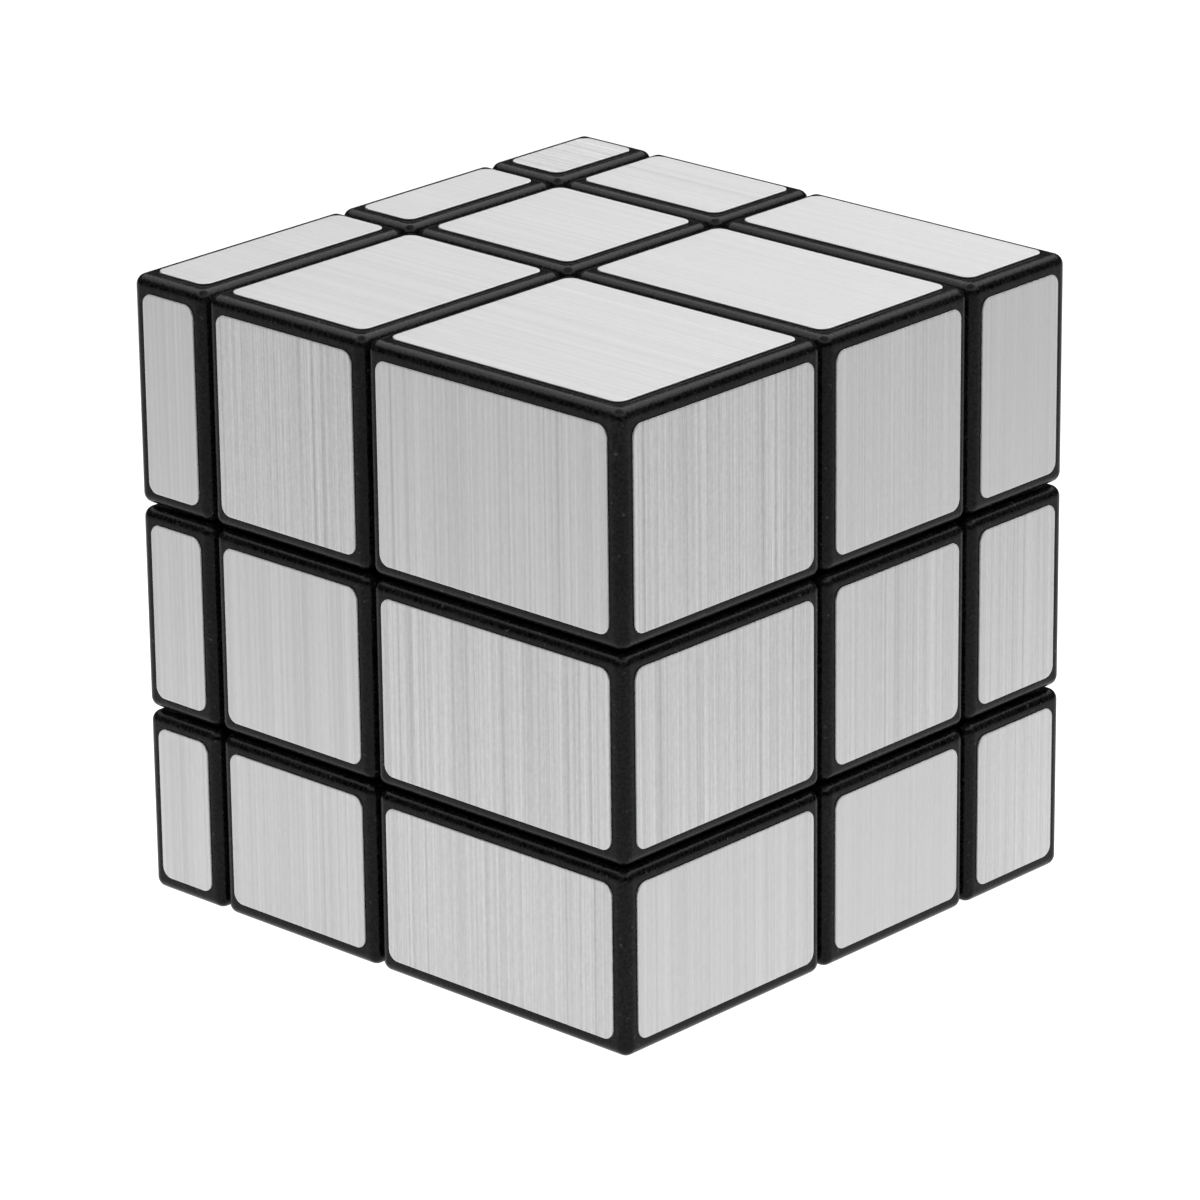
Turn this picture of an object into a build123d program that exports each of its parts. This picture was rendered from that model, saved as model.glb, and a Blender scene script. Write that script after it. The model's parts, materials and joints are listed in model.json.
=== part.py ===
"""A three-layer twisty puzzle whose outer layers have six different thicknesses.

Twenty-six cubies turn about a six-armed core. Every layer boundary is a surface of
revolution about its own axis: a flat cut outside, and a step down to a disc inside,
so that the feet of edges and corners slide under their neighbours and hold them in.
All lengths are millimetres, and the pieces are drawn about the core's centre.
"""

from build123d import *

import os
from itertools import product

# Layer thicknesses: the middle slice of each axis, and the six outer layers
MIDDLE_SLICE = 19.0
LAYERS = {"left": 9.0, "right": 29.0, "front": 25.0, "back": 13.0, "bottom": 17.0, "top": 21.0}

# Each face's axis (0 is X, 1 is Y, 2 is Z) and the side of the core that it is on
FACES = {
    "left": (0, -1),
    "right": (0, 1),
    "front": (1, -1),
    "back": (1, 1),
    "bottom": (2, -1),
    "top": (2, 1),
}

# The boundary of a layer: the flat cut, the step inside it and the step's radius
CUT = MIDDLE_SLICE / 2
STEP = 6.5
STEP_RADIUS = 15.6
CLEARANCE = 0.15  # each piece keeps this far from a boundary

BLOCK_START = CUT + CLEARANCE
BLOCK_HALF = CUT - CLEARANCE
FOOT_START = STEP + CLEARANCE
FOOT_HALF = STEP - CLEARANCE
FOOT_RADIUS = STEP_RADIUS - CLEARANCE
CLEAR_RADIUS = STEP_RADIUS + CLEARANCE

# Moulded plastic
ROUND = 1.0  # radius on every edge of a block
WALL = 1.4
JOIN_GAP = 0.03  # between pieces that are glued or snapped together

# The plug on an edge's or corner's foot, which closes its hollow block
HUB_START = 9.0
HUB_END = 12.4
HUB_HALF = 4.8

# Centre cubie: a base that holds the spring, and a cap over it
CAP_SEAT = 16.6
CAP_TOP_WALL = 1.3
BOSS_HALF = 7.8
BOSS_HEIGHT = 0.5
WEB_START = 8.7
WEB_END = 10.2
WELL_RADIUS = 4.0

# Core
BALL_RADIUS = 6.2
ARM_RADIUS = 4.0
ARM_END = 8.6
RUNNING_FIT = 0.08  # radial

# Axis hardware, the same on all six arms
SHANK_RADIUS = 1.25
SHANK_START = 4.0
WASHER_START = 14.0
WASHER_THICKNESS = 0.4
WASHER_RADIUS = 3.4
HEAD_START = WASHER_START + WASHER_THICKNESS + JOIN_GAP
HEAD_HEIGHT = 1.5
HEAD_RADIUS = 2.6
HEAD_ROUND = 0.6
RECESS_WIDTH = 0.7
RECESS_LENGTH = 3.0
RECESS_DEPTH = 0.8
SPRING_RADIUS = 2.4
SPRING_WIRE = 0.35  # radius of the wire
SPRING_TURNS = 3

# Foil stickers
STICKER = 0.15
STICKER_ROUND = 1.0
INSET_AT_CUT = 1.45
INSET_AT_RIM = 1.43

REACH = {FACES[name]: CUT + thickness for name, thickness in LAYERS.items()}

# The core's centre, with the origin under the middle of the puzzle's bounding box
CORE = (
    (REACH[0, -1] - REACH[0, 1]) / 2,
    (REACH[1, -1] - REACH[1, 1]) / 2,
    REACH[2, -1] + STICKER,
)


def face_plane(axis, side, height):
    """The plane across one axis at a height from the core, facing outward."""
    outward = [0, 0, 0]
    outward[axis] = side
    along = [0, 0, 0]
    along[(axis + 1) % 3] = 1
    return Plane([height * part for part in outward], x_dir=along, z_dir=outward)


def cell(signs, low, margin, half):
    """Bounds on each axis, from low out to a margin inside the cubie's outer faces."""
    bounds = []
    for axis, side in enumerate(signs):
        if side:
            bounds.append((side * low, side * (REACH[axis, side] - margin)))
        else:
            bounds.append((-half, half))
    return bounds


def inner_cell(signs, low, high, half):
    """Bounds on each axis near the core, the same for every cubie of one kind."""
    return [(side * low, side * high) if side else (-half, half) for side in signs]


def span_box(bounds, mode=Mode.ADD):
    """A box that runs between two planes on each axis."""
    middle = tuple((low + high) / 2 for low, high in bounds)
    sides = [abs(high - low) for low, high in bounds]
    with Locations(middle):
        Box(*sides, mode=mode)


def cut_disc(axis, height, radius):
    """Remove a disc about an axis from a height outward, on both sides of the core."""
    for side in (-1, 1):
        with BuildSketch(face_plane(axis, side, height)) as disc:
            Circle(radius)
        extrude(disc.sketch, amount=CUT, mode=Mode.SUBTRACT)


def trim_to_disc(axis, side):
    """Remove what stands outside the layer's inner disc, below its flat cut."""
    with BuildSketch(face_plane(axis, side, 0)) as outside:
        Rectangle(4 * STEP_RADIUS, 4 * STEP_RADIUS)
        Circle(FOOT_RADIUS, mode=Mode.SUBTRACT)
    extrude(outside.sketch, amount=BLOCK_START, mode=Mode.SUBTRACT)


def block_shell(signs):
    """The hollow outer block of an edge or a corner, open where its foot plugs in."""
    middle_axes = [axis for axis, side in enumerate(signs) if not side]
    with BuildPart() as hollow:
        span_box(cell(signs, BLOCK_START + WALL, WALL, BLOCK_HALF - WALL))
        for axis in middle_axes:
            cut_disc(axis, FOOT_HALF - WALL, CLEAR_RADIUS + WALL)
    with BuildPart() as shell:
        span_box(cell(signs, BLOCK_START, 0, BLOCK_HALF))
        fillet(shell.edges(), ROUND)
        for axis in middle_axes:
            cut_disc(axis, FOOT_HALF, CLEAR_RADIUS)
        add(hollow.part, mode=Mode.SUBTRACT)
        socket = inner_cell(signs, HUB_START, HUB_END + JOIN_GAP, HUB_HALF + JOIN_GAP)
        span_box(socket, mode=Mode.SUBTRACT)
    return shell


def foot(signs):
    """The inner half of an edge or a corner: tongues in each of its layers, and a plug."""
    with BuildPart() as inner:
        span_box(inner_cell(signs, FOOT_START, FOOT_RADIUS, FOOT_HALF))
        own_block = inner_cell(signs, BLOCK_START - JOIN_GAP, 2 * FOOT_RADIUS, BLOCK_HALF)
        span_box(own_block, mode=Mode.SUBTRACT)
        span_box(inner_cell(signs, HUB_START, HUB_END, HUB_HALF))
        for axis, side in enumerate(signs):
            if side:
                trim_to_disc(axis, side)
    return inner


def centre_base(axis, side):
    """The square column that turns on an arm, with its flange and its spring well."""
    outward = Axis((0, 0, 0), face_plane(axis, side, 0).z_dir)
    signs = [side if number == axis else 0 for number in range(3)]
    with BuildPart() as base:
        span_box(inner_cell(signs, FOOT_START, CAP_SEAT, BLOCK_HALF))
        fillet(base.edges().filter_by(outward), ROUND)
        for other in {0, 1, 2} - {axis}:
            cut_disc(other, FOOT_HALF, CLEAR_RADIUS)
        with BuildSketch(face_plane(axis, side, CAP_SEAT)):
            RectangleRounded(2 * BOSS_HALF, 2 * BOSS_HALF, ROUND)
        extrude(amount=BOSS_HEIGHT)
        with BuildSketch(face_plane(axis, side, WEB_END)):
            Circle(WELL_RADIUS)
        extrude(amount=CAP_SEAT, mode=Mode.SUBTRACT)
        with BuildSketch(face_plane(axis, side, 0)):
            Circle(ARM_RADIUS + RUNNING_FIT)
        extrude(amount=WEB_START, mode=Mode.SUBTRACT)
        with BuildSketch(face_plane(axis, side, 0)):
            Circle(SHANK_RADIUS + RUNNING_FIT)
        extrude(amount=CAP_SEAT, mode=Mode.SUBTRACT)
    return base


def centre_cap(axis, side):
    """The hollow cap that snaps over a centre's base and hides its screw."""
    outward = Axis((0, 0, 0), face_plane(axis, side, 0).z_dir)
    signs = [side if number == axis else 0 for number in range(3)]
    with BuildPart() as cap:
        span_box(cell(signs, CAP_SEAT, 0, BLOCK_HALF))
        seat_edges = cap.edges().group_by(outward)[0]
        fillet(cap.edges() - seat_edges, ROUND)
        with BuildSketch(face_plane(axis, side, CAP_SEAT)):
            RectangleRounded(2 * BOSS_HALF + 2 * JOIN_GAP, 2 * BOSS_HALF + 2 * JOIN_GAP, ROUND)
        extrude(amount=REACH[axis, side] - CAP_TOP_WALL - CAP_SEAT, mode=Mode.SUBTRACT)
    return cap


def sticker(signs, axis):
    """The foil plate on one outer face of a cubie."""
    side = signs[axis]
    bounds = []
    for other in ((axis + 1) % 3, (axis + 2) % 3):
        if signs[other]:
            low = signs[other] * (CUT + INSET_AT_CUT)
            high = signs[other] * (REACH[other, signs[other]] - INSET_AT_RIM)
        else:
            low = INSET_AT_CUT - CUT
            high = CUT - INSET_AT_CUT
        bounds.append((low, high))
    (x_low, x_high), (y_low, y_high) = bounds
    middle = ((x_low + x_high) / 2, side * (y_low + y_high) / 2)
    with BuildPart() as foil:
        with BuildSketch(face_plane(axis, side, REACH[axis, side])):
            with Locations(middle):
                RectangleRounded(abs(x_high - x_low), abs(y_high - y_low), STICKER_ROUND)
        extrude(amount=STICKER)
    return foil


def write_node(name, *pieces):
    """Set the separate solids of one node about the core, label them and write them."""
    with BuildPart() as node:
        with Locations(CORE):
            for piece in pieces:
                add(piece.part)
    node.part.label = name
    export_step(node.part, f"parts/{name}.step")


os.makedirs("parts", exist_ok=True)
AXIS_PLANES = [face_plane(axis, side, 0) for axis, side in FACES.values()]

# Core: a ball with six arms, each drilled for its screw
with BuildPart() as core_spider:
    Sphere(BALL_RADIUS)
    for plane in AXIS_PLANES:
        with BuildSketch(plane):
            Circle(ARM_RADIUS)
        extrude(amount=ARM_END)
    with Locations(*[plane.offset(ARM_END) for plane in AXIS_PLANES]):
        Hole(radius=SHANK_RADIUS + JOIN_GAP, depth=ARM_END - SHANK_START + JOIN_GAP)
write_node("core_spider", core_spider)

# Axis screw: shank and pan head with a cross recess
with BuildPart() as screw:
    with BuildSketch(Plane.XY.offset(SHANK_START)):
        Circle(SHANK_RADIUS)
    extrude(amount=HEAD_START - SHANK_START)
    with BuildSketch(Plane.XY.offset(HEAD_START)):
        Circle(HEAD_RADIUS)
    extrude(amount=HEAD_HEIGHT)
    fillet(screw.edges().group_by(Axis.Z)[-1], HEAD_ROUND)
    with BuildSketch(Plane.XY.offset(HEAD_START + HEAD_HEIGHT)):
        Rectangle(RECESS_LENGTH, RECESS_WIDTH)
        Rectangle(RECESS_WIDTH, RECESS_LENGTH)
    extrude(amount=-RECESS_DEPTH, mode=Mode.SUBTRACT)

with BuildPart() as washer:
    with BuildSketch(Plane.XY.offset(WASHER_START)):
        Circle(WASHER_RADIUS)
        Circle(SHANK_RADIUS + RUNNING_FIT, mode=Mode.SUBTRACT)
    extrude(amount=WASHER_THICKNESS)

# Tension spring between the base's web and the washer
spring_start = WEB_END + SPRING_WIRE + JOIN_GAP
spring_height = WASHER_START - SPRING_WIRE - JOIN_GAP - spring_start
with BuildPart() as spring:
    with BuildLine(Plane.XY.offset(spring_start)):
        coil = Helix(spring_height / SPRING_TURNS, spring_height, SPRING_RADIUS)
    with BuildSketch(Plane(coil @ 0, z_dir=coil % 0)):
        Circle(SPRING_WIRE)
    sweep()

with BuildPart() as axis_hardware:
    with Locations(*AXIS_PLANES):
        add(screw.part)
        add(washer.part)
        add(spring.part)
write_node("axis_screws_washers_springs", axis_hardware)

# Centres: base, cap and sticker on each arm
for face, (axis, side) in FACES.items():
    signs = [side if number == axis else 0 for number in range(3)]
    write_node(f"centre_{face}_base", centre_base(axis, side))
    write_node(f"centre_{face}_cap", centre_cap(axis, side))
    write_node(f"centre_{face}_sticker", sticker(signs, axis))

# Edges and corners: hollow block and foot in one node, their stickers in another
NAMES = {place: name for name, place in FACES.items()}
for signs in product((-1, 0, 1), repeat=3):
    outer_axes = [axis for axis in (2, 1, 0) if signs[axis]]
    if len(outer_axes) < 2:
        continue
    kind = "edge" if len(outer_axes) == 2 else "corner"
    name = "_".join([kind] + [NAMES[axis, signs[axis]] for axis in outer_axes])
    write_node(name, block_shell(signs), foot(signs))
    write_node(f"{name}_stickers", *[sticker(signs, axis) for axis in outer_axes])
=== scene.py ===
"""Looks for the twisty puzzle cube: brushed foil stickers on satin black blocks.

Lengths are metres in the CAD's frame. The CAD's own blocks, core and screws stay and get
materials; every foil sticker is built here over the CAD plate that it replaces.
"""

import json
import math
import random

import bpy
from mathutils import Matrix, Vector


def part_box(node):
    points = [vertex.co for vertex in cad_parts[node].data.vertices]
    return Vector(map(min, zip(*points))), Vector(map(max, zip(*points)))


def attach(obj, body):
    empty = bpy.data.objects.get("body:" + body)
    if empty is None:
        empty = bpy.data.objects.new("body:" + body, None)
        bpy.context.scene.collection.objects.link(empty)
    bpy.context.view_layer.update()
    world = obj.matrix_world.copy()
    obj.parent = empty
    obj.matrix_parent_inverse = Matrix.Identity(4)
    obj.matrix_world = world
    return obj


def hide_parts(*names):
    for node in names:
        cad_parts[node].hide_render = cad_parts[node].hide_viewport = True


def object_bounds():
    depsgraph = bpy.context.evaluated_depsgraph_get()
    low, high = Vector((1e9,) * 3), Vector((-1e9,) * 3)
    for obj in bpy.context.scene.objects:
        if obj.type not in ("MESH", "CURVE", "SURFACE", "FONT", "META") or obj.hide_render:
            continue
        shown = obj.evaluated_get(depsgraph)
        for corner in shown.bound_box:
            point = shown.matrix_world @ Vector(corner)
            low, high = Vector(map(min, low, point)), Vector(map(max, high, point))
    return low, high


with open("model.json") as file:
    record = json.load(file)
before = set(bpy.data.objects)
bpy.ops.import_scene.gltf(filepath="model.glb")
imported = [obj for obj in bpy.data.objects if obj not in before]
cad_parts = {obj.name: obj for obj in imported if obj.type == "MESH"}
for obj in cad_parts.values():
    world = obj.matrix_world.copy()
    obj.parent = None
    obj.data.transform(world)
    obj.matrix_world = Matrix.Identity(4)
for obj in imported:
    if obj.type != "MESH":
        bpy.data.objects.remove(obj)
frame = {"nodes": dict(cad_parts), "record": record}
cad_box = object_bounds()
MM = 0.001

# The camera: a long lens that looks down on the front (-Y) and right (+X) faces
CAMERA_AZIMUTH = math.radians(43.02)
CAMERA_ELEVATION = math.radians(20.28)
CAMERA_ROLL = math.radians(-0.65)
CAMERA_DISTANCE = 0.5709
CAMERA_LENS_MM = 195.7
CAMERA_SENSOR_MM = 36.0
CAMERA_NEAREST = 10 * MM
CAMERA_AIM = Vector((0.25, -0.83, -2.12)) * MM  # from the middle of the CAD box

# Studio: dark walls, a bright cove above them, and a dimmer ceiling inside the cove.
# The angles are elevations, and the camera itself sees white paper all round.
COVE_STARTS = math.radians(33)
COVE_FULL = math.radians(44)
COVE_FADES = math.radians(48)
COVE_ENDS = math.radians(72)
WALL_LIGHT = 0.06
COVE_LIGHT = 4.3
CEILING_LIGHT = 0.9
KEY_SIDE = Vector((0.0, 0.3, 0.0))  # the cove is brighter towards the back
PAPER_WHITE = (1.0, 1.0, 1.0, 1.0)

# A soft lamp overhead, a little behind the cube and to its right
OVERHEAD_PLACE = Vector((0.05, 0.1, 0.62))
OVERHEAD_SIZE = 0.5
OVERHEAD_POWER = 0.4

# A round table of white acrylic that glows evenly, with a painted pool of light on it under the
# cube
FLOOR_RADIUS = 3.0
FLOOR_SIDES = 96
TABLE_LIGHT = 0.59
PAINTED_POOL_LIGHT = 0.57  # what the painted pool of light adds at its middle
PAINTED_POOL_REACH = 0.12  # where the painted pool of light has faded to a half

# Foil stickers
FOIL_EDGE = 0.05 * MM  # rounding of the plate's upper edge
FOIL_CORNER = 1.0 * MM  # radius of the sticker's corners
FOIL_DEPTH = 0.3 * MM  # more than a plate's thickness, less than its distance to the next
CORNER_STEPS = 7
EDGE_STEPS = 3
GRID_STEP = 2.0 * MM
SHEET_WIDTH = 400.0  # millimetres of the sheet that the stickers are cut from
SEED = 125597  # settles where on the sheet each sticker is cut

# Marks on the foil: how many to a millimetre across and along the brush lines, and noise detail
LONG_LINES = (3.6, 0.01, 2.0)
SHORT_LINES = (4.2, 0.7, 2.0)
BUNDLES = (1.1, 0.012, 1.0)
SCRATCHES = (2.7, 0.008, 1.0)
GRAIN = (3.2, 2.4, 2.0)
CLOUDS = (0.12, 0.08, 3.0)
BRUSH_DEPTH = (0.15, 0.62)  # contrast of the marks at the sheet's two ends
FOIL_TONE = (0.568, 0.59)
FOIL_ROUGHNESS = (0.6, 0.63)

# The middle of a noise: values outside this range are rare
NOISE_LOW = 0.3
NOISE_HIGH = 0.7

# Each face's axis, its side of the core, and the axis that its foil is brushed along
FACES = {
    "left": (0, -1, 2),
    "right": (0, 1, 2),
    "front": (1, -1, 2),
    "back": (1, 1, 2),
    "bottom": (2, -1, 0),
    "top": (2, 1, 0),
}


# Camera, floor and light

def add_to_scene(name, data):
    """A new object with the given camera, light or mesh, at the origin."""
    item = bpy.data.objects.new(name, data)
    bpy.context.scene.collection.objects.link(item)
    return item


def add_camera():
    """A camera at the given angles, distance and roll, aimed near the middle of the box."""
    low, high = (Vector(corner) for corner in cad_box)
    turn = (
        Matrix.Rotation(CAMERA_AZIMUTH, 4, "Z")
        @ Matrix.Rotation(math.pi / 2 - CAMERA_ELEVATION, 4, "X")
        @ Matrix.Rotation(CAMERA_ROLL, 4, "Z")
    )
    aim = (low + high) / 2 + CAMERA_AIM
    back = turn.to_3x3() @ Vector((0, 0, CAMERA_DISTANCE))
    data = bpy.data.cameras.new("camera")
    data.lens = CAMERA_LENS_MM
    data.sensor_width = CAMERA_SENSOR_MM
    data.clip_start = CAMERA_NEAREST
    camera = add_to_scene("camera", data)
    camera.matrix_world = Matrix.Translation(aim + back) @ turn
    bpy.context.scene.camera = camera


def add_overhead_lamp():
    """A square soft light above the cube, facing the middle of the table."""
    data = bpy.data.lights.new("overhead", "AREA")
    data.shape = "SQUARE"
    data.size = OVERHEAD_SIZE
    data.energy = OVERHEAD_POWER
    facing = (-OVERHEAD_PLACE).to_track_quat("-Z", "Y").to_matrix().to_4x4()
    add_to_scene("overhead", data).matrix_world = Matrix.Translation(OVERHEAD_PLACE) @ facing


def add_step(tree, height, start, end, low, high):
    """A smooth change of brightness between two elevations, given the height of a direction."""
    step = tree.nodes.new("ShaderNodeMapRange")
    step.interpolation_type = "SMOOTHSTEP"
    step.inputs["From Min"].default_value = math.sin(start)
    step.inputs["From Max"].default_value = math.sin(end)
    step.inputs["To Min"].default_value = low
    step.inputs["To Max"].default_value = high
    tree.links.new(height, step.inputs["Value"])
    return step.outputs["Result"]


def add_cove(tree):
    """The studio's brightness in each direction."""
    coords = tree.nodes.new("ShaderNodeTexCoord")
    split = tree.nodes.new("ShaderNodeSeparateXYZ")
    tree.links.new(coords.outputs["Generated"], split.inputs["Vector"])
    height = split.outputs["Z"]
    rising = add_step(tree, height, COVE_STARTS, COVE_FULL, WALL_LIGHT, COVE_LIGHT)
    falling = add_step(tree, height, COVE_FADES, COVE_ENDS, COVE_LIGHT, CEILING_LIGHT)
    cove = tree.nodes.new("ShaderNodeMath")
    cove.operation = "MINIMUM"
    tree.links.new(rising, cove.inputs[0])
    tree.links.new(falling, cove.inputs[1])
    towards_key = tree.nodes.new("ShaderNodeVectorMath")
    towards_key.operation = "DOT_PRODUCT"
    towards_key.inputs[1].default_value = KEY_SIDE
    tree.links.new(coords.outputs["Generated"], towards_key.inputs[0])
    slanted = tree.nodes.new("ShaderNodeMath")
    slanted.operation = "MULTIPLY_ADD"
    tree.links.new(towards_key.outputs["Value"], slanted.inputs[0])
    tree.links.new(cove.outputs["Value"], slanted.inputs[1])
    tree.links.new(cove.outputs["Value"], slanted.inputs[2])
    return slanted.outputs["Value"]


def add_world():
    """The studio lights the cube, and the camera sees white paper in its place."""
    world = bpy.data.worlds.new("studio")
    bpy.context.scene.world = world
    world.use_nodes = True
    tree = world.node_tree
    tree.nodes.clear()
    lit = tree.nodes.new("ShaderNodeBackground")
    tree.links.new(add_cove(tree), lit.inputs["Strength"])
    seen = tree.nodes.new("ShaderNodeBackground")
    seen.inputs["Color"].default_value = PAPER_WHITE
    mix = tree.nodes.new("ShaderNodeMixShader")
    rays = tree.nodes.new("ShaderNodeLightPath")
    tree.links.new(rays.outputs["Is Camera Ray"], mix.inputs["Fac"])
    tree.links.new(lit.outputs["Background"], mix.inputs[1])
    tree.links.new(seen.outputs["Background"], mix.inputs[2])
    output = tree.nodes.new("ShaderNodeOutputWorld")
    tree.links.new(mix.outputs["Shader"], output.inputs["Surface"])


def add_floor(material):
    """A wide round table top under the cube."""
    turns = [2 * math.pi * i / FLOOR_SIDES for i in range(FLOOR_SIDES)]
    rim = [(FLOOR_RADIUS * math.cos(turn), FLOOR_RADIUS * math.sin(turn), 0) for turn in turns]
    mesh = bpy.data.meshes.new("floor")
    mesh.from_pydata(rim, [], [list(range(FLOOR_SIDES))])
    mesh.materials.append(material)
    add_to_scene("floor", mesh)


# Materials

class Shader:
    """A material with one Principled shader, and short ways to add nodes to it."""

    def __init__(self, name, **values):
        self.material = bpy.data.materials.new(name)
        self.material.use_nodes = True
        self.tree = self.material.node_tree
        self.tree.nodes.clear()
        output = self.tree.nodes.new("ShaderNodeOutputMaterial")
        self.surface = self.tree.nodes.new("ShaderNodeBsdfPrincipled")
        for socket, value in values.items():
            self.surface.inputs[socket.replace("_", " ")].default_value = value
        self.link(self.surface.outputs["BSDF"], output.inputs["Surface"])

    def link(self, source, target):
        self.tree.links.new(source, target)

    def set(self, socket, value):
        """Feed a node's output into a socket of the Principled shader."""
        self.link(value, self.surface.inputs[socket])

    def coords(self, output, scale):
        """Texture coordinates, stretched by a scale on each axis."""
        coords = self.tree.nodes.new("ShaderNodeTexCoord")
        mapping = self.tree.nodes.new("ShaderNodeMapping")
        mapping.inputs["Scale"].default_value = scale
        self.link(coords.outputs[output], mapping.inputs["Vector"])
        return mapping.outputs["Vector"]

    def noise(self, vector, detail, roughness=0.55):
        node = self.tree.nodes.new("ShaderNodeTexNoise")
        node.inputs["Scale"].default_value = 1.0
        node.inputs["Detail"].default_value = detail
        node.inputs["Roughness"].default_value = roughness
        self.link(vector, node.inputs["Vector"])
        return node.outputs["Fac"]

    def even_noise(self, per_metre, detail, roughness=0.55):
        """Noise that is the same in every direction, in the object's own coordinates."""
        return self.noise(self.coords("Object", (per_metre,) * 3), detail, roughness)

    def brush_noise(self, across, along, detail):
        """Noise that follows the foil's brush lines, in features to a millimetre."""
        return self.noise(self.coords("UV", (across, along, 1.0)), detail)

    def between(self, value, low, high, start=NOISE_LOW, end=NOISE_HIGH):
        """A value from start to end, mapped onto low to high and held there outside it."""
        node = self.tree.nodes.new("ShaderNodeMapRange")
        node.inputs["From Min"].default_value = start
        node.inputs["From Max"].default_value = end
        node.inputs["To Min"].default_value = low
        node.inputs["To Max"].default_value = high
        self.link(value, node.inputs["Value"])
        return node.outputs["Result"]

    def math(self, operation, first, second):
        node = self.tree.nodes.new("ShaderNodeMath")
        node.operation = operation
        for socket, value in zip(node.inputs, (first, second)):
            if isinstance(value, (int, float)):
                socket.default_value = value
            else:
                self.link(value, socket)
        return node.outputs["Value"]

    def add(self, first, second):
        return self.math("ADD", first, second)

    def times(self, first, second):
        return self.math("MULTIPLY", first, second)

    def grey(self, value, blue=1.0):
        """A grey as bright as the value, with its blue channel raised or lowered."""
        node = self.tree.nodes.new("ShaderNodeCombineColor")
        self.link(value, node.inputs["Red"])
        self.link(value, node.inputs["Green"])
        self.link(self.times(value, blue), node.inputs["Blue"])
        return node.outputs["Color"]

    def bump(self, height, distance, strength=1.0):
        node = self.tree.nodes.new("ShaderNodeBump")
        node.inputs["Distance"].default_value = distance
        node.inputs["Strength"].default_value = strength
        self.link(height, node.inputs["Height"])
        self.set("Normal", node.outputs["Normal"])


def brushed_foil():
    """Silver foil with fine brush lines. UVs are millimetres of sheet: U across, V along."""
    shader = Shader("brushed_foil", Metallic=1.0, Anisotropic=0.75)
    clouds = shader.brush_noise(*CLOUDS)
    lines = shader.times(shader.brush_noise(*LONG_LINES), 0.64)
    lines = shader.add(lines, shader.times(shader.brush_noise(*SHORT_LINES), 0.24))
    lines = shader.add(lines, shader.times(shader.brush_noise(*BUNDLES), 0.12))
    grained = shader.add(shader.times(lines, 0.82), shader.times(shader.brush_noise(*GRAIN), 0.18))

    scratches = shader.between(shader.brush_noise(*SCRATCHES), 0.0, -0.15, 0.6, 0.72)
    marks = shader.add(shader.add(grained, -0.5), scratches)
    place = shader.tree.nodes.new("ShaderNodeSeparateXYZ")
    shader.link(shader.coords("UV", (1 / SHEET_WIDTH, 0.0, 0.0)), place.inputs["Vector"])
    depth = shader.between(place.outputs["X"], *BRUSH_DEPTH, 0.0, 1.0)
    tone = shader.add(shader.times(marks, depth), shader.between(clouds, *FOIL_TONE))
    shader.set("Base Color", shader.grey(tone))

    cloudy = shader.between(clouds, *FOIL_ROUGHNESS)
    shader.set("Roughness", shader.add(shader.between(lines, 0.05, -0.05), cloudy))
    shader.bump(grained, 0.004 * MM, strength=0.6)
    tangent = shader.tree.nodes.new("ShaderNodeTangent")
    tangent.direction_type = "UV_MAP"
    tangent.uv_map = "brush"
    shader.set("Tangent", tangent.outputs["Tangent"])
    return shader.material


def moulded_plastic(name, tone, contrast, gloss, grain):
    """Injection-moulded plastic with a fine grain, uneven gloss and a few specks of dust.

    The gloss is the lowest and highest roughness, and the grain is the depth of its bumps.
    """
    shader = Shader(name, Specular_IOR_Level=0.1, IOR=1.5)
    handling = shader.even_noise(160.0, detail=5.0)
    texture = shader.even_noise(3600.0, detail=3.0)
    specks = shader.even_noise(2200.0, detail=1.0)
    dust = shader.between(specks, 0.0, 0.03, 0.7, 0.8)
    grained = shader.between(texture, tone * (1 - contrast), tone * (1 + contrast), 0.36, 0.64)
    handled = shader.times(grained, shader.between(handling, 0.7, 1.3))
    shader.set("Base Color", shader.grey(shader.add(handled, dust)))
    shader.set("Roughness", shader.between(handling, *gloss))
    shader.bump(texture, grain)
    return shader.material


def plated_steel():
    """Zinc-plated steel for the screws, washers and springs."""
    shader = Shader("plated_steel", Metallic=1.0)
    drawn = shader.even_noise(900.0, detail=6.0, roughness=0.7)
    shader.set("Base Color", shader.grey(shader.between(drawn, 0.48, 0.66), blue=1.02))
    shader.set("Roughness", shader.between(drawn, 0.25, 0.42))
    shader.bump(drawn, 0.006 * MM)
    return shader.material


def acrylic_with_painted_glow():
    """White acrylic that glows, with a painted pool of light that is brightest under the cube and
    softens every shadow on it.
    """
    shader = Shader("acrylic_with_painted_glow", Roughness=0.8, Specular_IOR_Level=0.1)
    shader.surface.inputs["Emission Color"].default_value = PAPER_WHITE
    # Painted pool of light: the glow is brightest under the cube and fades with distance from it
    distance = shader.tree.nodes.new("ShaderNodeVectorMath")
    distance.operation = "LENGTH"
    shader.link(shader.coords("Object", (1 / PAINTED_POOL_REACH,) * 3), distance.inputs[0])
    spread = shader.add(shader.math("POWER", distance.outputs["Value"], 2.0), 1.0)
    painted_pool = shader.math("DIVIDE", PAINTED_POOL_LIGHT, spread)
    shader.set("Emission Strength", shader.add(painted_pool, TABLE_LIGHT))
    clouds = shader.even_noise(40.0, detail=4.0)
    shader.set("Base Color", shader.grey(shader.between(clouds, 0.26, 0.28)))
    return shader.material


# Foil stickers

def grid_lines(half, radius):
    """Where a plate's grid lines cross one axis: how far into a corner, and the corner's centre."""
    flat = half - radius
    middle_cells = max(2, round(2 * flat / GRID_STEP))
    lines = [(-(CORNER_STEPS - i) / CORNER_STEPS, -flat) for i in range(CORNER_STEPS)]
    lines += [(0.0, flat * (2 * i / middle_cells - 1)) for i in range(middle_cells + 1)]
    lines += [((i + 1) / CORNER_STEPS, flat) for i in range(CORNER_STEPS)]
    return lines


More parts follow.
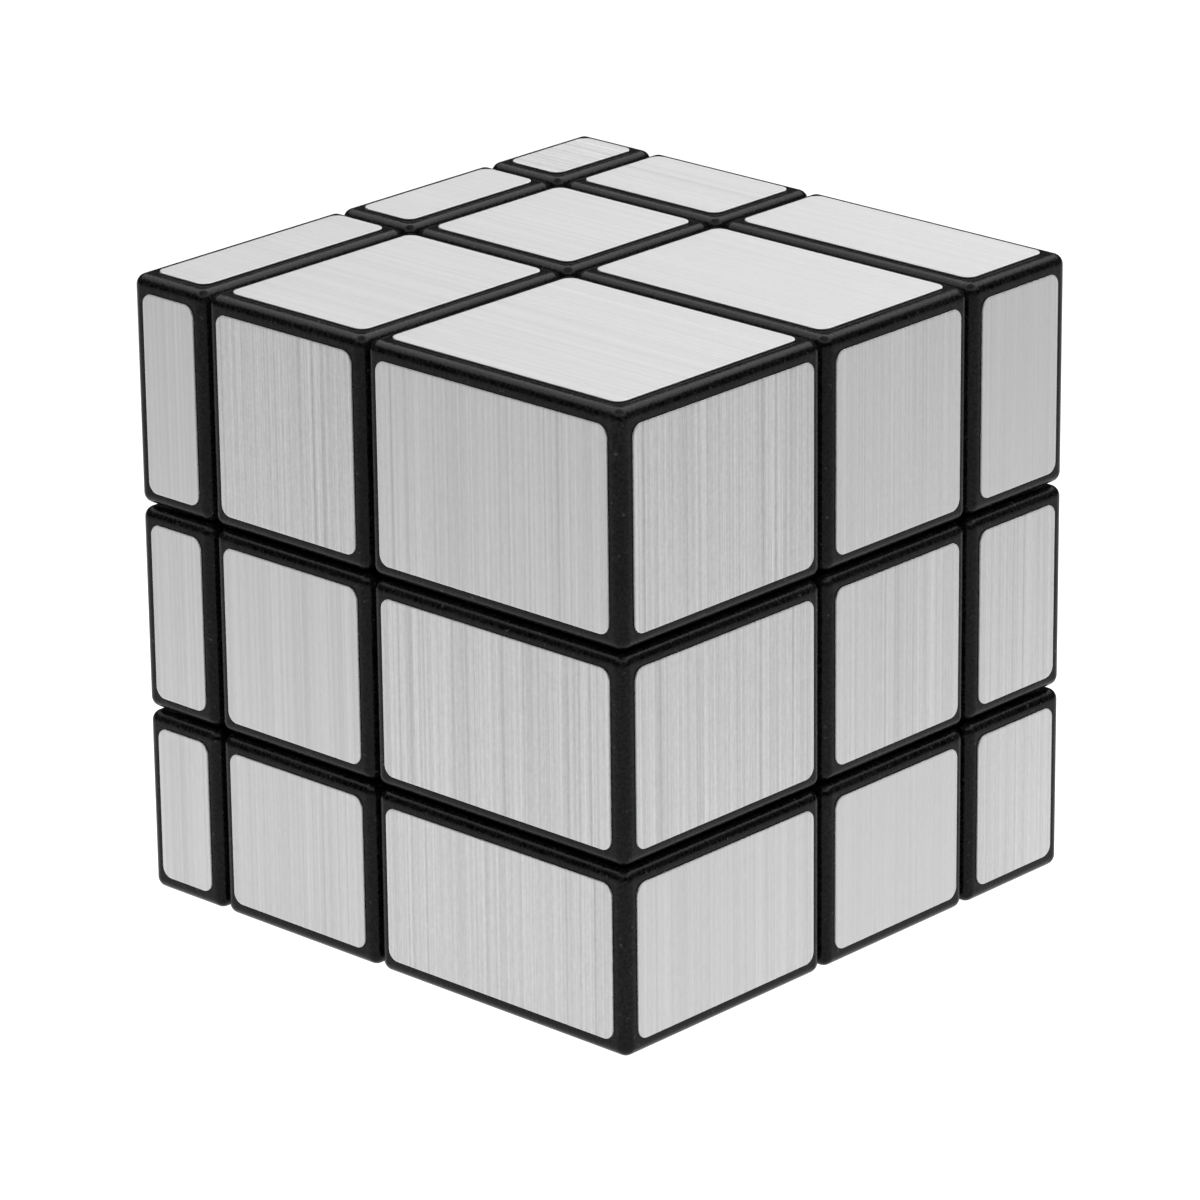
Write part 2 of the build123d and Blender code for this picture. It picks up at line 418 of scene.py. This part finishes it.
def plate_points(half_x, half_y, inset):
    """Rows of points over a rounded rectangle, with square rings bent onto arcs in its corners."""
    radius = FOIL_CORNER - inset
    rows = []
    for t, y in grid_lines(half_y - inset, radius):
        row = []
        for s, x in grid_lines(half_x - inset, radius):
            spread = max(abs(s), abs(t)) / math.hypot(s, t) if s and t else 1.0
            row.append((x + radius * s * spread, y + radius * t * spread))
        rows.append(row)
    return rows


def rim_of(rows, columns):
    """Index pairs round the border of a grid, anticlockwise."""
    border = [(0, j) for j in range(columns)]
    border += [(i, columns - 1) for i in range(1, rows)]
    border += [(rows - 1, j) for j in range(columns - 2, -1, -1)]
    border += [(i, 0) for i in range(rows - 2, 0, -1)]
    return border


def build_plate(half_x, half_y, thickness):
    """Points and faces of a thin plate with rounded corners and a rounded upper edge."""
    points, faces = [], []
    bottom = plate_points(half_x, half_y, 0.0)
    top = plate_points(half_x, half_y, FOIL_EDGE)
    rows, columns = len(bottom), len(bottom[0])
    border = rim_of(rows, columns)

    def add_grid(grid, height, upward):
        """A flat face of quads. Returns the indices round its border."""
        start = len(points)
        points.extend((x, y, height) for row in grid for x, y in row)
        for i in range(rows - 1):
            for j in range(columns - 1):
                corner = start + i * columns + j
                quad = (corner, corner + 1, corner + columns + 1, corner + columns)
                faces.append(quad if upward else quad[::-1])
        return [start + i * columns + j for i, j in border]

    def add_ring(inset, height):
        """The points round the plate's edge at one height. Returns their indices."""
        start = len(points)
        grid = plate_points(half_x, half_y, inset)
        points.extend((*grid[i][j], height) for i, j in border)
        return list(range(start, start + len(border)))

    rings = [add_grid(bottom, 0.0, upward=False), add_ring(0.0, thickness - FOIL_EDGE)]
    for step in range(1, EDGE_STEPS):
        angle = math.pi / 2 * step / EDGE_STEPS
        inset = FOIL_EDGE * (1 - math.cos(angle))
        drop = FOIL_EDGE * (1 - math.sin(angle))
        rings.append(add_ring(inset, thickness - drop))
    rings.append(add_grid(top, thickness, upward=True))
    for lower, upper in zip(rings, rings[1:]):
        for k in range(len(border)):
            n = (k + 1) % len(border)
            faces.append((lower[k], lower[n], upper[n], upper[k]))
    return points, faces


def unit(axis):
    """The direction of an axis, given its number."""
    return Vector([float(k == axis) for k in range(3)])


def plate_bounds(node, axis, side):
    """Lowest and highest corner of the one plate of a CAD sticker node that lies on a face."""
    lowest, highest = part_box(node)
    outer = highest[axis] if side > 0 else lowest[axis]
    vertices = [vertex.co for vertex in frame["nodes"][node].data.vertices]
    corners = [place for place in vertices if abs(place[axis] - outer) < FOIL_DEPTH]
    low = Vector([min(place[k] for place in corners) for k in range(3)])
    high = Vector([max(place[k] for place in corners) for k in range(3)])
    return low, high


def add_foil(node, body, material, chance):
    """The foil piece that replaces one CAD sticker node, with a plate for each face in its name."""
    points, faces, sheet = [], [], []
    for name in [face for face in FACES if face in node.split("_")]:
        axis, side, along = FACES[name]
        across = 3 - axis - along
        low, high = plate_bounds(node, axis, side)
        middle = (low + high) / 2
        half = (high - low) / 2
        plate, quads = build_plate(half[across], half[along], 2 * half[axis])
        flipped = side * unit(across).cross(unit(along))[axis] < 0
        cut = (chance.uniform(0, SHEET_WIDTH), chance.uniform(0, SHEET_WIDTH))
        start = len(points)
        for x, y, height in plate:
            place = middle.copy()
            place[across] += x
            place[along] += y
            place[axis] += side * (height - half[axis])
            points.append(place)
            sheet.append((place[across] / MM + cut[0], place[along] / MM + cut[1]))
        for quad in quads:
            corners = [start + index for index in quad]
            faces.append(corners[::-1] if flipped else corners)
    mesh = bpy.data.meshes.new(f"foil_{node}")
    mesh.from_pydata(points, [], faces)
    layer = mesh.uv_layers.new(name="brush")
    for loop in mesh.loops:
        layer.data[loop.index].uv = sheet[loop.vertex_index]
    mesh.shade_smooth()
    mesh.materials.append(material)
    foil = add_to_scene(f"foil_{node}", mesh)
    keep_flat(foil)
    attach(foil, body)
    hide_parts(node)


def keep_flat(piece):
    """Weighted normals keep the wide flat faces flat beside their rounded edges."""
    modifier = piece.modifiers.new("flat_faces", "WEIGHTED_NORMAL")
    modifier.keep_sharp = True
    modifier.weight = 100


def finish_nodes():
    """Foil over every CAD sticker, and a moulded or plated finish on every other CAD node."""
    finishes = {
        "black_plastic": moulded_plastic("satin_black", 0.004, 0.9, (0.16, 0.26), 0.022 * MM),
        "core_plastic": moulded_plastic("core_white", 0.55, 0.06, (0.45, 0.6), 0.01 * MM),
        "steel": plated_steel(),
    }
    foil = brushed_foil()
    chance = random.Random(SEED)
    record = frame["record"]
    bodies = {node: body for body, nodes in record["behaviour"]["bodies"].items() for node in nodes}
    for part in record["subparts"]:
        node = part["node"]
        if part["material_slot"] == "silver_foil":
            add_foil(node, bodies[node], foil, chance)
        else:
            for material_slot in frame["nodes"][node].material_slots:
                material_slot.material = finishes[part["material_slot"]]


# The scene

add_camera()
add_world()
add_floor(acrylic_with_painted_glow())
add_overhead_lamp()
finish_nodes()
bpy.context.scene.view_settings.view_transform = "Standard"
